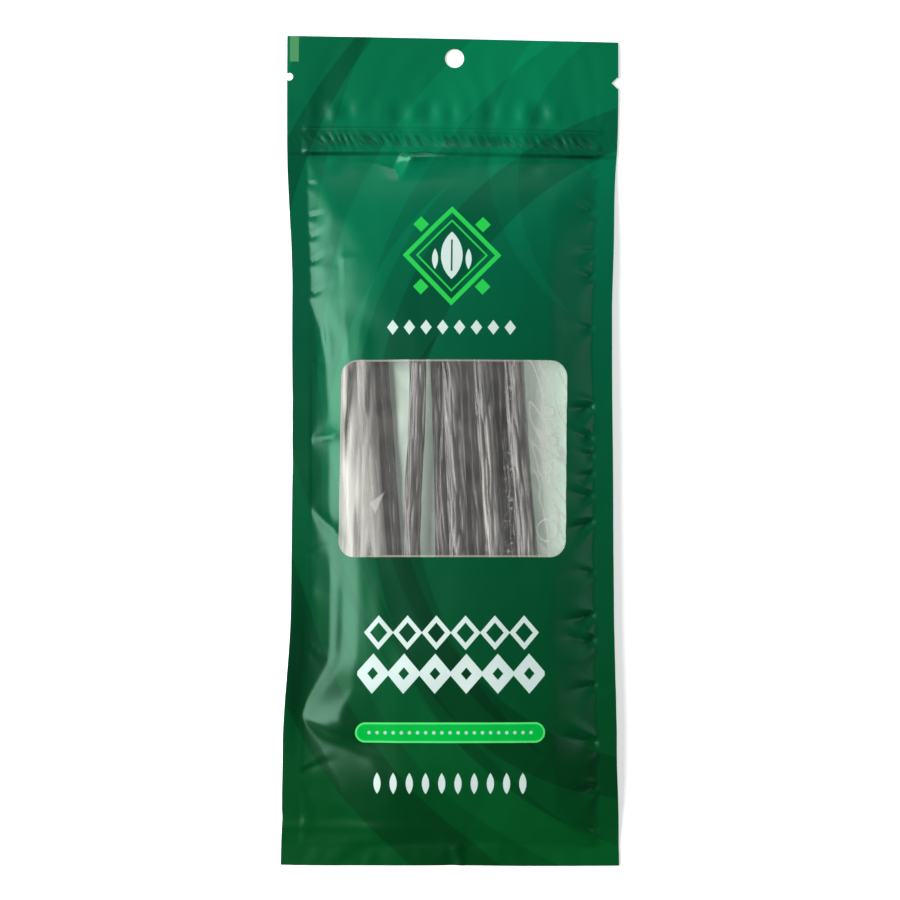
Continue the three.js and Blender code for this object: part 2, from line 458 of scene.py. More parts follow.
def clearFilm():
    clear = Finish("clear_film")
    x, y = clear.flatPlace()
    cloudy = clear.patch(x, y, 0.09, 3.0, 9.0)
    streaks = clear.patch(x * 5.0, y * 0.35, 0.12, 2.0, 3.0)
    folds = clear.patch(x * 0.8 + y * 0.35, y * 0.22 - x * 0.1, 0.24, 1.0, 12.0)
    curls = clear.patch(x, y * 0.8, 0.45, 1.0, 15.0)
    # the film stands off the pods on the left; its whitish veil there is partly real haze and partly a
    # painted reflection of the key light, broken into patches and streaks
    left = ((-24.0 - x - y * 0.08) / 11.0).within()
    strip = ((x + y * 0.10 - pane["stripFrom"]) / 4.0).within()
    edge = inked(abs(windowDistance(x, y) + 0.35) - 0.25, 0.5)
    rings = None
    for centreX, centreY, radius in pane["rings"]:
        drawn = inked(ring(x - centreX, y - centreY, radius, 0.2), 0.5)
        rings = drawn if rings is None else rings.most(drawn)
    broad = clear.patch(x * 2.4 - y * 0.12, y * 0.22, 0.12, 1.0, 21.0)
    haze = left ** 0.8 * pane["leftHazeAndPaintedReflection"] * (broad * 4.6 - 1.6).within()
    haze = haze + pane["clearest"] + (cloudy - 0.5) * 0.10
    haze = haze + (streaks - 0.5).most(0.0) * left * 2.2
    haze = haze * (1.0 - inked(x + pane["bareTo"], 3.0) * 0.55)
    # a painted highlight on a triangular fold of the film
    haze = haze + inked(triangle(x, y, pane["fold"]), 0.5) * pane["foldPaintedHighlight"]
    # painted highlights on the film's folds, bubble rings and curls
    foldLines = inked(abs(folds - 0.5) - 0.015, 0.06)
    curlLines = inked(abs(curls - 0.5) - 0.006, 0.02)
    curlLines = curlLines * ((1.0 - abs(x - pane["curlsAt"]) / 3.0).within() + strip * 0.35)
    haze = haze + strip * (pane["stripHaze"] + foldLines * 0.42 + rings * 0.6)
    haze = haze + curlLines * pane["curls"]
    haze = haze.most(edge * pane["edgeHaze"])
    ripple = clear.patch(x * 2.0, y * 0.6, 0.35, 2.0, 6.0)
    return clear.coated({
        "Base Color": pane["haze"],
        "Roughness": cloudy * 0.12 + (pane["roughness"] - 0.04),
        "IOR": 1.5,
        "Specular IOR Level": pane["shine"],
        "Alpha": haze.within(),
        "Normal": clear.bump(0.25, ripple + folds * strip),
    })


pods = {
    "subdivisions": 3,
    "ridge": 0.52,
    "wave": 0.22,
    "lines": (5, 9, 14),
    "lowerHeight": 4 * mm,
    # pods in the lower layer get painted shade, as under the pods above them
    "lowerPaintedShade": -0.07,
    "browns": [
        (0.38, (0.005, 0.005, 0.007, 1)),
        (0.53, (0.026, 0.025, 0.028, 1)),
        (0.66, (0.10, 0.098, 0.100, 1)),
        # the pale top stop is a painted highlight where ridges and wrinkles peak
        (0.78, (0.44, 0.41, 0.36, 1)),
    ],
}


def podSkin():
    skin = Finish("pod_skin")
    tracks = [{"attribute_name": name} for name in ("relief", "seed", "tone")]
    relief, seed, tone = (skin.node("Attribute", track, None, 2) for track in tracks)
    around, along = skin.uvPlace("skin")
    wrinkles = skin.cloud(skin.place(around * 8.0, along * 6.0, seed), 4.0, roughness=0.6)
    fibres = skin.cloud(skin.place(around * 24.0, along * 11.0, seed + 4.0), 2.0)
    spot = skin.node("TexCoord", None, None, 3)
    grain = skin.cloud(spot, 3.0, 1800.0)
    blotch = skin.cloud(spot, 3.0, 160.0)
    # lighter on the wrinkles' ridges and darker in their valleys: painted highlight and painted shade
    paintedRidgeLight = (relief * 2.4 + 0.9).within()
    # tone is painted shade on the lower pods
    share = wrinkles * 0.36 + fibres * 0.24 + blotch * 0.1 + paintedRidgeLight * 0.3 + tone
    return skin.coated({
        "Base Color": skin.node("ValToRGB", {"stops": pods["browns"]}, {0: share}),
        "Roughness": blotch * 0.25 + 0.24,
        "IOR": 1.5,
        "Normal": skin.bump(0.8, wrinkles + fibres * 0.4 + grain * 0.10),
    })


printed = printedFilm()
printedBack = backFilm()
lining = filmLining()
clear = clearFilm()
skin = podSkin()
report("materials are ready")


# The flat cut of the pouch

pouch = {
    "halfWidth": 55 * mm,
    "halfLength": 136 * mm,
    "seal": 6 * mm,
    "pocketHead": 96.5 * mm,
    "cell": 1.7 * mm,
    "film": 0.13 * mm,
    "layerGap": 0.1 * mm,
    "leastApart": 0.3 * mm,
    "leastHeight": 0.35 * mm,
    "creaseHeight": 0.3 * mm,
}
sealLine = pouch["halfWidth"] - pouch["seal"]
pocketFoot = -pouch["halfLength"] + pouch["seal"]
pocketHead = pouch["pocketHead"]
flatSpan = 300 * mm


def spread(stops):  # grid lines between the given stops, each in whole cells
    lines = [stops[0]]
    for start, end in zip(stops, stops[1:]):
        cells = max(1, round((end - start) / pouch["cell"]))
        lines += [start + (end - start) * (k + 1) / cells for k in range(cells)]
    return lines


columnLines = spread([-pouch["halfWidth"], -sealLine, 0, sealLine, pouch["halfWidth"]])
rowLines = spread([-pouch["halfLength"], pocketFoot, pocketHead, pouch["halfLength"]])


def inPocket(x, y):  # where the front and the back are apart
    return abs(x) < sealLine and pocketFoot < y < pocketHead


def onPocketEdge(x, y, slack=0.05 * mm):
    beside = abs(x) < sealLine + slack and pocketFoot - slack < y < pocketHead + slack
    within = abs(x) < sealLine - slack and pocketFoot + slack < y < pocketHead - slack
    return beside and not within


def windowEdge(x, y):  # signed distance to the window's outline, negative inside
    radius = window["radius"]
    up = y - window["centre"][1]
    outX = abs(x - window["centre"][0] - up * window["lean"]) - window["half"][0] + radius
    outY = abs(up) - window["half"][1] + radius
    return math.hypot(max(outX, 0), max(outY, 0)) + min(max(outX, outY), 0) - radius


def onWindowEdge(x, y):  # the nearest point of the window's outline
    distance = windowEdge(x, y)
    nudge = 0.01 * mm
    slopeX = (windowEdge(x + nudge, y) - windowEdge(x - nudge, y)) / (2 * nudge)
    slopeY = (windowEdge(x, y + nudge) - windowEdge(x, y - nudge)) / (2 * nudge)
    return x - distance * slopeX, y - distance * slopeY


def flatPouch():
    columns, rows = len(columnLines) - 1, len(rowLines) - 1
    bpy.ops.object.select_all(action="DESELECT")
    bpy.ops.mesh.primitive_grid_add(x_subdivisions=columns, y_subdivisions=rows, size=1)
    sheet = bpy.context.object
    sheet.name = "pouch_film"
    mesh = sheet.data
    for vertex in mesh.vertices:
        column = round((vertex.co.x + 0.5) * columns)
        row = round((vertex.co.y + 0.5) * rows)
        vertex.co = (columnLines[column], rowLines[row], 0)
    for material in (printed, clear, printedBack):
        mesh.materials.append(material)
    for face in mesh.polygons:
        face.material_index = 1 if windowEdge(face.center.x, face.center.y) < 0 else 0
    mesh.uv_layers[0].name = "flat"
    for loop in mesh.loops:
        place = mesh.vertices[loop.vertex_index].co
        mesh.uv_layers["flat"].data[loop.index].uv = (place.x / flatSpan + 0.5, place.y / flatSpan + 0.5)
    pick(mesh, "polygons", lambda face: inPocket(face.center.x, face.center.y))
    editMode("FACE")
    bpy.ops.mesh.duplicate()
    bpy.ops.mesh.flip_normals()
    bpy.ops.transform.translate(value=(0, 0, -pouch["layerGap"]))
    objectMode()
    for face in mesh.polygons:
        if face.center.z < -pouch["layerGap"] / 2:
            face.material_index = 2
    pick(mesh, "vertices", lambda vertex: onPocketEdge(vertex.co.x, vertex.co.y))
    editMode("VERT")
    bpy.ops.mesh.remove_doubles(threshold=pouch["layerGap"] * 1.5)
    objectMode()
    return sheet


sheet = flatPouch()
report(f"flat cut has {len(sheet.data.vertices)} vertices")


# Laid over the pods

lie = {
    "rise": 6.0 * mm,
    "seam": 3.9 * mm,
    "seamLow": 0.7 * mm,
    "power": 2.6,
    "fullFrom": -101 * mm,
    "fullTo": 46 * mm,
    "headFall": 0.88,
    "frontGap": 0.3 * mm,
    "backLow": 0.4 * mm,
    "backDrop": 7 * mm,
    "frames": 26,
    "scale": 10.0,
    "gravity": 0.03,
    "filmGap": 0.003,
}
clothValues = {
    "quality": 8,
    "mass": 0.02,
    "tension_stiffness": 200,
    "compression_stiffness": 200,
    "shear_stiffness": 100,
    "bending_stiffness": 0.3,
    "tension_damping": 5,
    "compression_damping": 5,
    "shear_damping": 5,
    "air_damping": 2,
    "use_pressure": True,
    "uniform_pressure_force": 0.02,
    "vertex_group_pressure": "loose",
    "vertex_group_mass": "ends",
}
lumpValues = {"thickness_outer": 0.002, "thickness_inner": 0.02, "cloth_friction": 5}


def fullness(y):
    fall = lie["headFall"] * ease(lie["fullTo"], 100 * mm, y)
    return ease(pocketFoot - 1 * mm, lie["fullFrom"], y) * (1 - fall)


def seamHeight(y):
    rise = lie["seam"] * ease(-pouch["halfLength"], lie["fullFrom"], y)
    return lie["seamLow"] + rise * (1 - ease(60 * mm, 125 * mm, y))


def chordTable(rise, steps=60):  # places across half a front that keeps its flat width
    chord = sealLine
    for _ in range(12):
        arc = [0.0]
        for k in range(steps):
            t0, t1 = k / steps, (k + 1) / steps
            drop = rise * (t1 ** lie["power"] - t0 ** lie["power"])
            arc.append(arc[-1] + math.hypot(chord / steps, drop))
        chord *= sealLine / arc[-1]
    return chord, arc


def alongTable(steps=600):  # how far up each flat row lies, once the film follows the bulge
    length = 2 * pouch["halfLength"]
    rows = [-length / 2 + length * k / steps for k in range(steps + 1)]
    tops = [seamHeight(y) + lie["rise"] * fullness(y) for y in rows]
    run = [0.0]
    for k in range(steps):
        slope = (tops[k + 1] - tops[k]) / (length / steps)
        run.append(run[-1] + length / steps / math.sqrt(1 + 0.5 * slope * slope))
    middle = run[steps // 2]
    return [value - middle for value in run]


def reading(table, share):  # a table read at a share of its length
    place = min(1, max(0, share)) * (len(table) - 1)
    low = min(len(table) - 2, int(place))
    return table[low] + (table[low + 1] - table[low]) * (place - low)


def shareOf(table, value):  # the share of a rising table at which it reaches a value
    low, high = 0.0, 1.0
    for _ in range(20):
        middle = (low + high) / 2
        low, high = (middle, high) if reading(table, middle) < value else (low, middle)
    return low


alongRun = alongTable()
chords = {}


def startPlace(x, y, layer):
    rise = lie["rise"] * fullness(y)
    key = round(y / (0.05 * mm))
    if key not in chords:
        chords[key] = chordTable(rise)
    chord, arc = chords[key]
    reach = abs(x)
    if reach > sealLine:
        across, share = chord + reach - sealLine, 1
    else:
        share = shareOf(arc, reach) if layer == "front" else reach / sealLine
        across = chord * share
    up = reading(alongRun, (y + pouch["halfLength"]) / (2 * pouch["halfLength"]))
    seam = seamHeight(y)
    if layer == "front":
        height = seam + rise * (1 - share ** lie["power"]) + lie["frontGap"]
    elif layer == "back":
        height = max(lie["backLow"], seam - lie["backDrop"] * fullness(y) * (1 - share**4))
    else:
        height = seam
    return math.copysign(across, x), up, height


def flatPlaces(piece):  # each vertex's place on the flat cut, in metres
    mesh = piece.data
    places = [(0.0, 0.0)] * len(mesh.vertices)
    layer = mesh.uv_layers["flat"].data
    for loop in mesh.loops:
        across, up = layer[loop.index].uv
        places[loop.vertex_index] = ((across - 0.5) * flatSpan, (up - 0.5) * flatSpan)
    return places


def faceFlatCentre(piece):
    places = flatPlaces(piece)
    centres = []
    for face in piece.data.polygons:
        points = [places[index] for index in face.vertices]
        centres.append(tuple(sum(values) / len(points) for values in zip(*points)))
    return centres


def layersOf(sheet):  # the layer of each vertex
    uses = [set() for _ in sheet.data.vertices]
    for face, place in zip(sheet.data.polygons, faceFlatCentre(sheet)):
        kind = "back" if face.material_index == 2 else "front"
        if kind == "front" and not inPocket(*place):
            kind = "seal"
        for index in face.vertices:
            uses[index].add(kind)
    return ["seal" if "seal" in kinds or len(kinds) > 1 else next(iter(kinds)) for kinds in uses]


podNames = [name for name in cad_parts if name.startswith("pod_")]


def podsTogether():  # one plain solid of all the pods, for the film to lie on
    takeUp(*(addObject("lump_" + name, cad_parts[name].data.copy()) for name in podNames))
    bpy.ops.object.join()
    lump = bpy.context.object
    weld(0.001 * mm)
    objectMode()
    lump.scale = (lie["scale"],) * 3
    bpy.ops.object.transform_apply(location=False, rotation=False, scale=True)
    return lump


def relax(sheet):
    layers = layersOf(sheet)
    flat = [vertex.co.copy() for vertex in sheet.data.vertices]
    scale = lie["scale"]
    for vertex in sheet.data.vertices:
        vertex.co = vertex.co * scale
    takeUp(sheet)
    basis = sheet.shape_key_add(name="Basis")
    start = sheet.shape_key_add(name="start")
    for point, layer, place in zip(start.data, layers, flat):
        point.co = [value * scale for value in startPlace(place.x, place.y, layer)]
    start.value = 1.0
    ends = sheet.vertex_groups.new(name="ends")
    held = pouch["halfLength"] - 1.2 * mm
    ends.add([k for k, place in enumerate(flat) if abs(place.y) > held], 0.5, "REPLACE")
    loose = sheet.vertex_groups.new(name="loose")
    loose.add([k for k, layer in enumerate(layers) if layer != "seal"], 1.0, "REPLACE")
    lump = podsTogether()
    bpy.ops.mesh.primitive_plane_add(size=6)
    table = bpy.context.object
    for thing in (lump, table):
        thing.modifiers.new("Collision", "COLLISION")
        setAll(thing.collision, lumpValues)
    cloth = sheet.modifiers.new("Cloth", "CLOTH")
    setAll(cloth.settings, clothValues)
    cloth.settings.effector_weights.gravity = lie["gravity"]
    cloth.settings.rest_shape_key = basis
    cloth.collision_settings.distance_min = lie["filmGap"]
    cloth.collision_settings.collision_quality = 3
    cloth.point_cache.frame_end = lie["frames"]
    for number in range(1, lie["frames"] + 1):
        scene.frame_set(number)
    takeUp(sheet)
    bpy.ops.object.convert(target="MESH")
    scene.frame_set(1)
    for thing in (lump, table):
        bpy.data.objects.remove(thing)
    for vertex in sheet.data.vertices:
        vertex.co = vertex.co / scale


def refine(sheet):  # halves the cells, and fits the window's stepped outline to them
    subdivide(sheet, 1)
    for face, place in zip(sheet.data.polygons, faceFlatCentre(sheet)):
        if face.material_index != 2:
            face.material_index = 1 if windowEdge(*place) < 0 else 0


relax(sheet)
refine(sheet)
report("film lies over the pods")

spurs = {  # taut folds that reach out to the side seals: flat height, strength and slant
    -1: [(49, 0.9, 0.2), (2.7, 0.9, -0.15), (-18.5, 1, 0.85), (-46, 0.2, 0.1), (-85.5, 1, 0.5),
         (-112, 0.4, 0.3)],
    1: [(92, 0.6, 0.3), (80, 0.6, 0.2), (55, 0.5, 0), (12.5, 0.6, -0.5), (-5.5, 0.4, 0),
        (-15, 0.8, 0.1), (-24, 0.5, -0.3), (-40, 0.5, 0), (-55, 0.8, 0.1), (-64, 0.6, 0),
        (-95, 1, -0.6), (-111, 0.6, 0), (-124, 0.5, 0)],
}
lying = {  # in millimetres, for the front between its side seals
    "top": 6.6,
    "fromZip": 19,
    "fromFoot": 15,
    "spurWidth": 0.7,
    "spurSpread": 0.42,
    "kept": 0.04,
    "overPods": 0.36,
    "drape": 0.4,
    "tip": 3.5,
    "endReach": 16,
    "pastEnd": 0.25,
    "tent": [(0.3, 0, 0.15), (0.9, 0, 0.06), (0.9, 3.5, 1.0)],  # half widths, run and added slope
    "curl": 1.5,
    "pull": {-1: 1.9, 1: 1.0},
    "pullHead": 0.8,
    "shift": [(-100, -60, 0.3), (30, 110, 0.7)],
    "topLift": 1.5,
    "topTurn": 0.022,
}
leftBand = {  # the steep band by the left seal: steps run from one height to another and add an amount
    "inset": 0.4,
    "insetSteps": [(51, 30, 7.0), (24, 8, 0.8), (-20, -50, 0.5), (-66, -88, -8.5)],
    "width": 4.8,
    "widthSteps": [(56, 36, 2.0), (-20, -36, 1.2), (-68, -82, 5.6)],
    "widthSwells": [(83, 8, 6), (-55, 20, 0.8)],
    "ledge": (1.2, 4.4, 0.43),
    "ledgeSwell": (-58, 26),
}
rightBand = {"inset": 1.5, "width": 14.0, "slopes": (0.15, 0.30, 0.12)}


def bend(run, radius=1.2):  # 0 before a bend and a slope of 1 after it
    return (run + math.hypot(run, radius)) / 2


def lower(first, second, radius):  # the lower of two heights, with a soft turn between them
    return (first + second - math.hypot(first - second, radius)) / 2


def stepSum(table, y):
    return sum(amount * ease(start, end, y) for start, end, amount in table)


def leftShape(inward, y):  # where the band starts, its width, and the slopes before, in and after it
    inset = leftBand["inset"] + stepSum(leftBand["insetSteps"], y)
    foot = 5 + 0.52 * max(0, -92 - y)  # its foot turns inward
    inset += foot * ease(-86 - 0.4 * inward, -91 - 0.4 * inward, y)
    width = leftBand["width"] + stepSum(leftBand["widthSteps"], y)
    width += sum(amount * bell(y - height, reach) for height, reach, amount in leftBand["widthSwells"])
    return inset, width, (0.03, 0.55 - 0.25 * ease(-86, -96, y), 0.10 + 0.13 * ease(34, 50, y))


def sideRise(side, x, y):  # how high the film has risen on its way in from a side seal, in millimetres
    inward = sealLine / mm - side * x
    if side < 0:
        start, width, slopes = leftShape(inward, y)
    else:
        start, width, slopes = rightBand["inset"], rightBand["width"], rightBand["slopes"]
    end = start + width
    rise = slopes[0] * inward
    rise += (slopes[1] - slopes[0]) * (bend(inward - start, 0.5) - bend(-start, 0.5))
    rise -= (slopes[1] - slopes[2]) * (bend(inward - end) - bend(-end))
    if side < 0:
        near, far, drop = leftBand["ledge"]
        height, reach = leftBand["ledgeSwell"]
        ledge = bend(inward - start - near, 0.4) - bend(inward - start - far, 0.4)
        rise -= drop * ledge * bell(y - height, reach)
    if inward < end:
        full = slopes[0] * end + (slopes[1] - slopes[0]) * width
        taut = full * inward / end
        held = 0.0
        for height, strength, slant in spurs[side]:
            reach = lying["spurWidth"] + lying["spurSpread"] * inward
            held += strength * math.exp(-abs(y - height + slant * inward) / reach)
        rise += (taut - rise) * min(1, held) * ease(end, end * 0.6, inward)
    return rise


def filmHeight(x, y):  # of the filled front over its side seals, in millimetres
    zipFoot, footSeal = 97.5, pocketFoot / mm
    top = lying["top"] * (1 - math.exp(-((max(0, zipFoot - y) / lying["fromZip"]) ** 1.4)))
    top *= 1 - math.exp(-max(0, y - footSeal) / lying["fromFoot"])
    both = lower(sideRise(-1, x, y), sideRise(1, x, y), 2.0)
    return max(0, lower(both, top, min(1.0, 0.6 * top)))


def ringsOf(mesh):  # centre and half sizes of the pod's rings, by height
    levels = {}
    for vertex in mesh.vertices:
        levels.setdefault(round(vertex.co.y / (0.2 * mm)), []).append(vertex.co)
    rings = []
    for points in levels.values():
        xs = [p.x for p in points]
        zs = [p.z for p in points]
        rings.append((
            sum(p.y for p in points) / len(points),
            (min(xs) + max(xs)) / 2,
            (min(zs) + max(zs)) / 2,
            (max(xs) - min(xs)) / 2,
            (max(zs) - min(zs)) / 2,
        ))
    return sorted(rings)


def ringAt(rings, y):
    if y <= rings[0][0]:
        return rings[0]
    for low, high in zip(rings, rings[1:]):
        if y <= high[0]:
            share = (y - low[0]) / max(1e-9, high[0] - low[0])
            return tuple(a + (b - a) * share for a, b in zip(low, high))
    return rings[-1]


podRings = {name: ringsOf(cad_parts[name].data) for name in podNames}


def podTops(x, y):  # height of a film that is stretched over the pods
    top = 0.0
    for rings in podRings.values():
        inner = min(rings[-1][0] - lying["tip"] * mm, max(rings[0][0] + lying["tip"] * mm, y))
        past = abs(y - inner)
        if past < lying["endReach"] * mm:
            _, centre, height, halfX, halfZ = ringAt(rings, inner)
            run = abs(x - centre)
            drop = lying["pastEnd"] * past
            for reach, beyond, slope in lying["tent"]:
                drop += slope * max(0, run - reach * halfX - beyond * mm)
            top = max(top, height + halfZ - drop)
    return top


def pull(side, y):  # how far a filled pouch draws its side in, in millimetres
    extra = 0.0 if side < 0 else lying["pullHead"] * bell(y - 86, 17)
    return lying["pull"][side] * ease(104, 50, y) * ease(-96, -50, y) + extra


def roundWindow(sheet):  # moves the window's stepped outline onto its true one
    mesh = sheet.data
    places = flatPlaces(sheet)
    kinds = {}
    for face in mesh.polygons:
        for index in face.vertices:
            kinds.setdefault(index, set()).add(face.material_index)
    moved = {index: onWindowEdge(*places[index]) for index, uses in kinds.items() if uses == {0, 1}}
    for index, (x, y) in moved.items():
        mesh.vertices[index].co.x += x - places[index][0]
        mesh.vertices[index].co.y += y - places[index][1]
    for loop in mesh.loops:
        if loop.vertex_index in moved:
            x, y = moved[loop.vertex_index]
            mesh.uv_layers["flat"].data[loop.index].uv = (x / flatSpan + 0.5, y / flatSpan + 0.5)


def seamHeights(sheet, places):  # gives a function for the height of a side's inner seal line
    lines = {-1: [], 1: []}
    for vertex, (x, y) in zip(sheet.data.vertices, places):
        if abs(abs(x) - sealLine) < 0.1 * mm:
            lines[1 if x > 0 else -1].append((y, vertex.co.z))

    def heightAt(side, y):
        line = lines[side]
        place = min(len(line) - 1, max(1, bisect.bisect(line, (y, 0))))
        (lowY, lowZ), (highY, highZ) = line[place - 1], line[place]
        return lowZ + (highZ - lowZ) * min(1, max(0, (y - lowY) / (highY - lowY)))

    for line in lines.values():
        line.sort()
    return heightAt


def settle(sheet):
    roundWindow(sheet)
    places = flatPlaces(sheet)
    seamAt = seamHeights(sheet, places)
    for vertex, layer, (x, y) in zip(sheet.data.vertices, layersOf(sheet), places):
        point = vertex.co
        side = 1 if x > 0 else -1
        point.x -= point.x / pouch["halfWidth"] * pull(side, y / mm) * mm
        if layer == "front":
            share = (x / sealLine + 1) / 2
            target = seamAt(-1, y) * (1 - share) + seamAt(1, y) * share + filmHeight(x / mm, y / mm) * mm
            target += (point.z - target) * lying["kept"] * ease(0, 8 * mm, sealLine - abs(x))
            over = podTops(point.x, point.y) + lying["overPods"] * mm
            point.z = -lower(-target, -over, lying["drape"] * mm)
        elif abs(x) > sealLine:
            point.z += (seamAt(side, y) - point.z) * 0.85
            if side < 0:  # the seal's edge turns up a little here
                reach = ease(sealLine, pouch["halfWidth"], -x)
                point.z += lying["curl"] * reach * bell(y / mm + 70, 24) * mm
        point.x += stepSum(lying["shift"], y / mm) * mm
        skew = lying["topLift"] * mm - lying["topTurn"] * point.x  # its top is a little askew
        point.y += skew * ease(40 * mm, 150 * mm, y)


settle(sheet)


# Front, back and window

def layersApart(sheet):  # keeps the front above the back where the two almost meet
    rows = {}
    places = flatPlaces(sheet)
    for index, (x, y) in enumerate(places):
        rows.setdefault((round(x / (0.02 * mm)), round(y / (0.02 * mm))), []).append(index)
    backs = set()
    for face in sheet.data.polygons:
        if face.material_index == 2:
            backs.update(face.vertices)
    vertices = sheet.data.vertices
    for pair in rows.values():
        if len(pair) != 2:
            continue
        pair.sort(key=lambda index: index not in backs)
        under, over = (vertices[index].co for index in pair)
        if over.z - under.z < pouch["leastApart"]:
            middle = (over.z + under.z) / 2
            over.z = middle + pouch["leastApart"] / 2
            under.z = middle - pouch["leastApart"] / 2
    for vertex in vertices:
        vertex.co.z = max(vertex.co.z, pouch["leastHeight"])


def cutApart(sheet):
    layersApart(sheet)
    takeUp(sheet)
    editMode("FACE")
    bpy.ops.mesh.select_all(action="SELECT")
    bpy.ops.mesh.separate(type="MATERIAL")
    objectMode()
    parts = {}
    sides = {printed.name: "front", clear.name: "window", printedBack.name: "back"}
    for thing in bpy.context.selected_objects:
        parts[sides[thing.data.materials[0].name]] = thing
    front, back = parts["front"], parts["back"]
    centres = faceFlatCentre(front)
    pick(front.data, "polygons", lambda face: not inPocket(*centres[face.index]))
    takeUp(front)
    editMode("FACE")
    bpy.ops.mesh.duplicate()
    bpy.ops.mesh.flip_normals()
    bpy.ops.mesh.separate(type="SELECTED")
    objectMode()
    margin = [thing for thing in bpy.context.selected_objects if thing != front][0]
    takeUp(back, margin)
    bpy.ops.object.join()
    weld(0.01 * mm)
    objectMode()
    for vertex in back.data.vertices:
        vertex.co.z -= 0.02 * mm
    return parts


parts = cutApart(sheet)
report("front, back and window are cut apart")

darts = {  # creases that run in from each side seal: flat height, slant, width, depth and length
    -1: [(76.5, 0.1, 0.9, 0.6, 4), (69.5, 0.3, 0.9, 0.6, 4), (61, 0.5, 0.9, 0.65, 5),
         (51, 0.4, 0.9, 0.6, 5), (88, -0.3, 0.9, 0.5, 4), (30, -0.2, 0.5, 0.3, 6),
         (-33, 0.2, 0.5, 0.3, 6), (-64, -0.3, 0.6, 0.4, 7), (-104, 0.3, 1.2, 0.6, 8)],
    1: [(78.7, 0.3, 1.4, 0.75, 8), (91, 0.5, 1, 0.6, 6), (66, -0.2, 1, 0.52, 7),
        (57, 0.2, 1.2, 0.68, 7), (40, 0.1, 1, 0.52, 7), (14.5, -0.15, 2, 1.2, 10),
        (3.6, 0.3, 1.6, 1.05, 9), (-2, 0.2, 1.1, 0.75, 6), (-7.5, -0.2, 1, 0.68, 6),
        (-15, 0.1, 1.6, 1.05, 9), (-23, -0.3, 1.4, 1.05, 10), (-40, 0.1, 1, 0.6, 7),
        (-53.5, -0.2, 2, 1.2, 11), (-62, 0.1, 1.6, 1.05, 11), (-76, -0.2, 1.2, 0.6, 8),
        (-95, 0.2, 2.2, 1.2, 11), (-109, -0.2, 1.2, 0.75, 8), (-124, 0.4, 1.2, 0.6, 6)],
}
dartSpread = {-1: 0.42, 1: 0.58}
dartDepth = {-1: 1.0, 1: 1.15}


def dartRelief(x, y):  # in millimetres
    side = -1 if x < 0 else 1
    run = sealLine / mm - abs(x)
    relief = 0.0
    for height, slant, width, depth, length in darts[side]:
        if run < -2 or run > length * 1.6 or abs(y - height) > 16:
            continue
        inward = max(0, run)
        beside = y - height - slant * inward
        reach = (width + dartSpread[side] * inward) * (0.5 if beside > 0 else 1.3)  # steeper above
        beside = abs(beside)
        share = inward / (0.3 * length)
        deep = dartDepth[side] * depth * share * math.exp(1 - share)
        relief -= deep * max(0, 1 - beside / reach) ** 1.6
        relief += 0.30 * deep * bell(beside - reach, 0.7 * reach)
    return relief


zipTrack = {
    "ribs": [(98.4, 0.85, 2.8, 0.75), (105.3, 0.45, 2.4, 0.5)],  # place, height, width above and below
    "middle": 101.8,
    "period": 2.9,
    "ripple": 0.20,
    "puckers": [(111, 3.8, 0.95), (94.5, 2.8, 0.30)],  # place, half width and height
    "fine": (96.5, 107.5),  # where the cells are halved once more
}
crumples = [(0.20, 0.06, 0.045, 2.0), (0.10, 0.15, 0.11, 6.0)]  # height, scales and seed
dimple = {
    "top": 97.6,
    "foot": 88.6,
    "place": -17.4,
    "slope": 0.60,
    "halfWidth": 4.4,
    "fall": (3.5, 8.0),
    "sink": -0.15,
}


def zipRelief(x, y):  # the press-to-close track under the film, in millimetres
    if not 88 < y < 116:
        return 0.0
    ends = ease(50.5, 48, abs(x)) * 0.75 + 0.25
    relief = 0.0
    for line, height, above, below in zipTrack["ribs"]:
        run = y - line - 0.12 * wander(x * 0.09, line)
        relief += height * bell(run, above if run > 0 else below)
    middle = zipTrack["middle"]
    band = zipTrack["ripple"] * bell(y - middle, 2.1) * (0.35 + 0.65 * ease(8, 34, abs(x)))
    turn = x / zipTrack["period"] + 0.22 * (y - middle) + 0.8 * wander(x * 0.11, 3.0)
    relief += band * math.sin(2 * math.pi * turn) * (0.8 + 0.6 * wander(x * 0.07, 8.0))
    puckers = wander(x * 0.19, 0.0, 5.0)
    for place, width, height in zipTrack["puckers"]:
        relief += height * puckers * bell(y - place, width)
    return relief * ends


def dimpleRelief(x, y):  # a triangular facet under the track that rises to the right
    share = (dimple["top"] - y) / (dimple["top"] - dimple["foot"])
    half = dimple["halfWidth"] * (1 - min(1, max(0, share)))
    across = x - dimple["place"]
    fall = dimple["fall"][0 if across < 0 else 1]
    fade = math.exp(-max(0, abs(across) - half) / fall) * ease(-0.05, 0.16, share)
    return dimple["slope"] * (min(half, max(-half, across)) - dimple["sink"] * half) * fade


def reliefOf(x, y, side):  # the film's small shapes in millimetres, out of the pouch
    if side == "back":
        return 0.5 * dartRelief(-x, y + 3) - zipRelief(x, y)
    loose = ease(-2, 4, sealLine / mm - abs(x)) * ease(-132, -124, y)
    crumple = sum(height * wander(x * across, y * up, seed) for height, across, up, seed in crumples)
    return zipRelief(x, y) + dartRelief(x, y) + dimpleRelief(x, y) + loose * crumple


backHeights = {}


def cellOf(x, y):
    return round(x / (0.3 * mm)), round(y / (0.3 * mm))


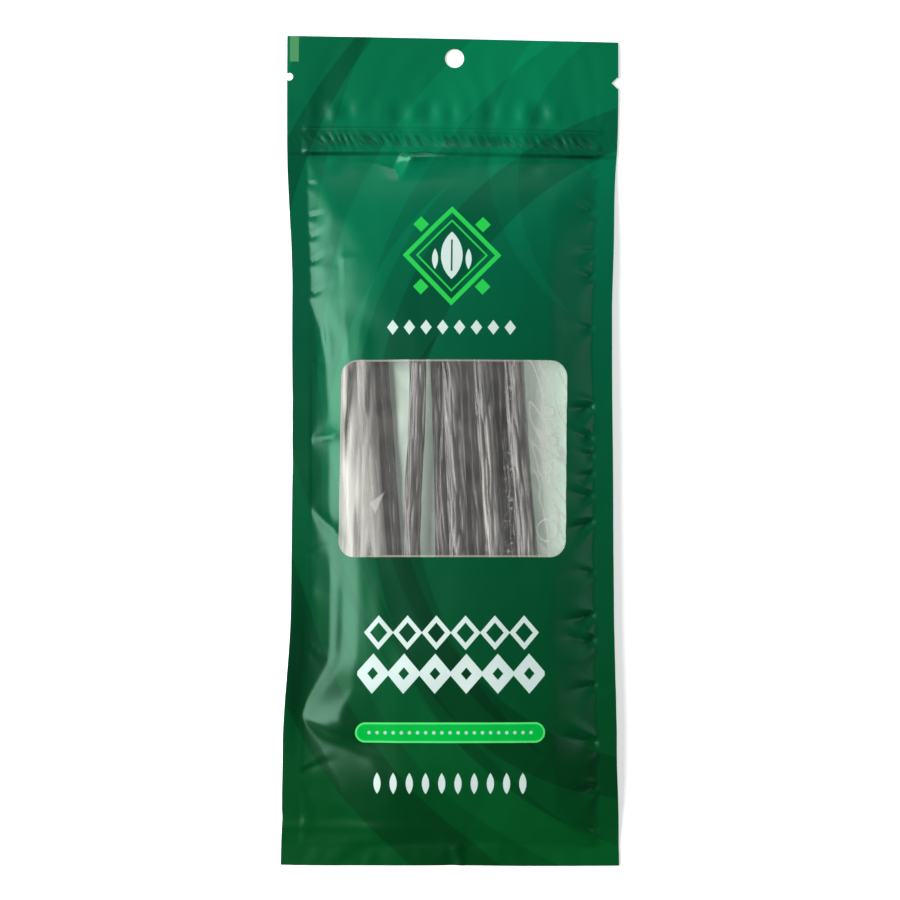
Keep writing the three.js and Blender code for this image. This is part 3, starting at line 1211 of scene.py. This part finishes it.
def shapeFilm(piece, side):
    takeUp(piece)
    centres = faceFlatCentre(piece)
    foot, head = (value * mm for value in zipTrack["fine"])
    pick(piece.data, "polygons", lambda face: foot < centres[face.index][1] < head)
    editMode("FACE")
    bpy.ops.mesh.subdivide(number_cuts=1, quadcorner="INNERVERT")
    objectMode()
    normals = [vertex.normal.copy() for vertex in piece.data.vertices]
    places = flatPlaces(piece)
    for vertex, normal, (x, y) in zip(piece.data.vertices, normals, places):
        vertex.co += normal * reliefOf(x / mm, y / mm, side) * mm
    for vertex, (x, y) in zip(piece.data.vertices, places):
        vertex.co.z = max(vertex.co.z, pouch["creaseHeight"])
        if side == "back":
            backHeights[cellOf(x, y)] = vertex.co.z
        else:
            vertex.co.z = max(vertex.co.z, backHeights.get(cellOf(x, y), 0) + pouch["layerGap"])


cutters = [  # place, radius and number of sides of the hang hole and the two tear notches
    ((1.5, 130.2), 3.15, 40),
    ((-53.3, 123.9), 1.3, 40),
    ((55.5, 121.8), 1.9, 4),
]


def cutHoles(piece):
    for place, radius, sides in cutters:
        middle = (place[0] * mm, place[1] * mm, 2 * mm)
        bpy.ops.mesh.primitive_cylinder_add(
            vertices=sides, radius=radius * mm, depth=12 * mm, location=middle)
        tool = bpy.context.object
        boolean = piece.modifiers.new("Cut", "BOOLEAN")
        setAll(boolean, {"operation": "DIFFERENCE", "object": tool, "solver": "EXACT"})
        applyModifiers(piece)
        bpy.data.objects.remove(tool)


def finishFilm(piece, name, side, node):
    shapeFilm(piece, side)
    solid = piece.modifiers.new("Solidify", "SOLIDIFY")
    solid.thickness = pouch["film"]
    solid.offset = 1.0
    solid.material_offset = 3 if side != "window" else 0
    piece.data.materials.append(lining)
    applyModifiers(piece)
    if side != "window":
        cutHoles(piece)
    bpy.ops.object.shade_smooth_by_angle(angle=math.radians(40))
    piece.name = piece.data.name = name
    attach(piece, "root")
    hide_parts(node)
    report(f"{name} has {len(piece.data.polygons)} faces")


finishFilm(parts["back"], "pouch_back", "back", "pouch")
finishFilm(parts["front"], "pouch_front", "front", "pouch")
finishFilm(parts["window"], "window_pane", "window", "window_film")


# The pods

def podRelief(turn, y, seed):  # lengthwise wrinkles in millimetres, sharp in their valleys
    relief = 0.0
    for count, share in zip(pods["lines"], (1.0, 0.7, 0.4)):
        drift = 1.6 * wander(y * 0.018, seed * 3.1, count)
        drift += 0.5 * wander(y * 0.07, seed * 1.7, count)
        fold = abs(math.sin(0.5 * count * (turn + drift) + seed * count))
        strength = 0.6 + 0.6 * wander(y * 0.05 + 9, turn * 0.8, seed)
        relief += pods["ridge"] * share * strength * (fold ** 0.7 - 0.75)
    relief += pods["wave"] * wander(math.cos(turn) * 1.3, math.sin(turn) * 1.3 + y * 0.09, seed * 5.3)
    return relief


def makePod(name, seed):
    pod = addObject("vanilla_" + name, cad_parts[name].data.copy())
    takeUp(pod)
    weld(0.001 * mm)
    bpy.ops.mesh.tris_convert_to_quads(face_threshold=math.radians(60), shape_threshold=math.radians(60))
    objectMode()
    rings = ringsOf(pod.data)
    subdivide(pod, pods["subdivisions"])
    mesh = pod.data
    turns = []
    for vertex in mesh.vertices:
        _, x, z, halfX, halfZ = ringAt(rings, vertex.co.y)
        turns.append(math.atan2((vertex.co.z - z) / halfZ, (vertex.co.x - x) / halfX))
    normals = [vertex.normal.copy() for vertex in mesh.vertices]
    heights = [podRelief(turn, vertex.co.y / mm, seed) for vertex, turn in zip(mesh.vertices, turns)]
    for vertex, normal, height in zip(mesh.vertices, normals, heights):
        vertex.co += normal * height * mm
    # painted shade for a pod that lies in the lower layer
    tone = pods["lowerPaintedShade"] if rings[len(rings) // 2][2] < pods["lowerHeight"] else 0.0
    tracks = {"relief": heights, "seed": [seed * 3.7] * len(heights), "tone": [tone] * len(heights)}
    for track, values in tracks.items():
        mesh.attributes.new(track, "FLOAT", "POINT").data.foreach_set("value", values)
    layer = mesh.uv_layers.new(name="skin")
    for face in mesh.polygons:
        first = turns[face.vertices[0]]
        for index, loopIndex in zip(face.vertices, face.loop_indices):
            turn = turns[index]
            turn += 2 * math.pi * round((first - turn) / (2 * math.pi))
            around = (turn + math.pi) / (2 * math.pi) * 0.9 + 0.05
            layer.data[loopIndex].uv = (around, mesh.vertices[index].co.y / flatSpan + 0.5)
    mesh.materials.clear()
    mesh.materials.append(skin)
    bpy.ops.object.shade_smooth()
    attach(pod, "root")
    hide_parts(name)


for number, name in enumerate(sorted(podNames)):
    makePod(name, number + 1)
report(f"{len(podNames)} pods are wrinkled")


# Floor, light and camera

studio = {
    "lamps": {  # place, size, power and colour
        "key": ((-1.1, -0.05, 0.75), (1.0, 1.4), 40.0, (1.0, 0.99, 0.96)),
        "fill": ((1.3, 0.1, 0.55), (0.7, 1.5), 4.5, (0.92, 0.97, 1.0)),
        "top": ((0.0, 1.5, 0.55), (1.4, 0.6), 9.0, (0.92, 0.98, 1.0)),
    },
    "floorGlow": 0.55,
    "skyStrength": 0.05,
    "cameraHeight": 0.62,
    "cameraTilt": 3.4,
    "frameWidth": 0.2956,
}


def floorPaint():
    return Finish("floor_white").coated({
        "Base Color": (0.9, 0.9, 0.89, 1),
        "Roughness": 0.8,
        "Specular IOR Level": 0.0,
        "Emission Color": (1, 1, 1, 1),
        "Emission Strength": studio["floorGlow"],
    })


def softLight(name, place, size, power, colour):  # aimed at the pouch
    lamp = bpy.data.lights.new(name, "AREA")
    lamp.shape = "RECTANGLE"
    lamp.size, lamp.size_y = size
    lamp.energy = power
    lamp.color = colour
    holder = addObject(name, lamp)
    holder.location = place
    holder.rotation_mode = "QUATERNION"
    holder.rotation_quaternion = (-Vector(place)).to_track_quat("-Z", "Y")


bpy.ops.object.select_all(action="DESELECT")
bpy.ops.mesh.primitive_plane_add(size=6)
floor = bpy.context.object
floor.name = "floor"
floor.data.materials.append(floorPaint())
for name, values in studio["lamps"].items():
    softLight(name, *values)

world = bpy.data.worlds.new("studio")
world.use_nodes = True
scene.world = world
sky = world.node_tree.nodes["Background"]
sky.inputs["Color"].default_value = (0.9, 0.93, 0.95, 1)
seen = world.node_tree.nodes.new("ShaderNodeLightPath")
seenByCamera = Link(world.node_tree, seen.outputs[0])
strength = combine(world.node_tree, "MULTIPLY_ADD", seenByCamera, 1.0, studio["skyStrength"])
feed(world.node_tree, sky.inputs["Strength"], strength)

optics = bpy.data.cameras.new("camera")
optics.sensor_width = 36
camera = addObject("camera", optics)
tilt = math.radians(studio["cameraTilt"])
distance = studio["cameraHeight"]
camera.location = (0, -distance * math.sin(tilt), distance * math.cos(tilt))
camera.rotation_euler = (tilt, 0, 0)
optics.lens = 36 * distance / studio["frameWidth"]
scene.camera = camera
scene.view_settings.view_transform = "Standard"
report("floor, light and camera are set")
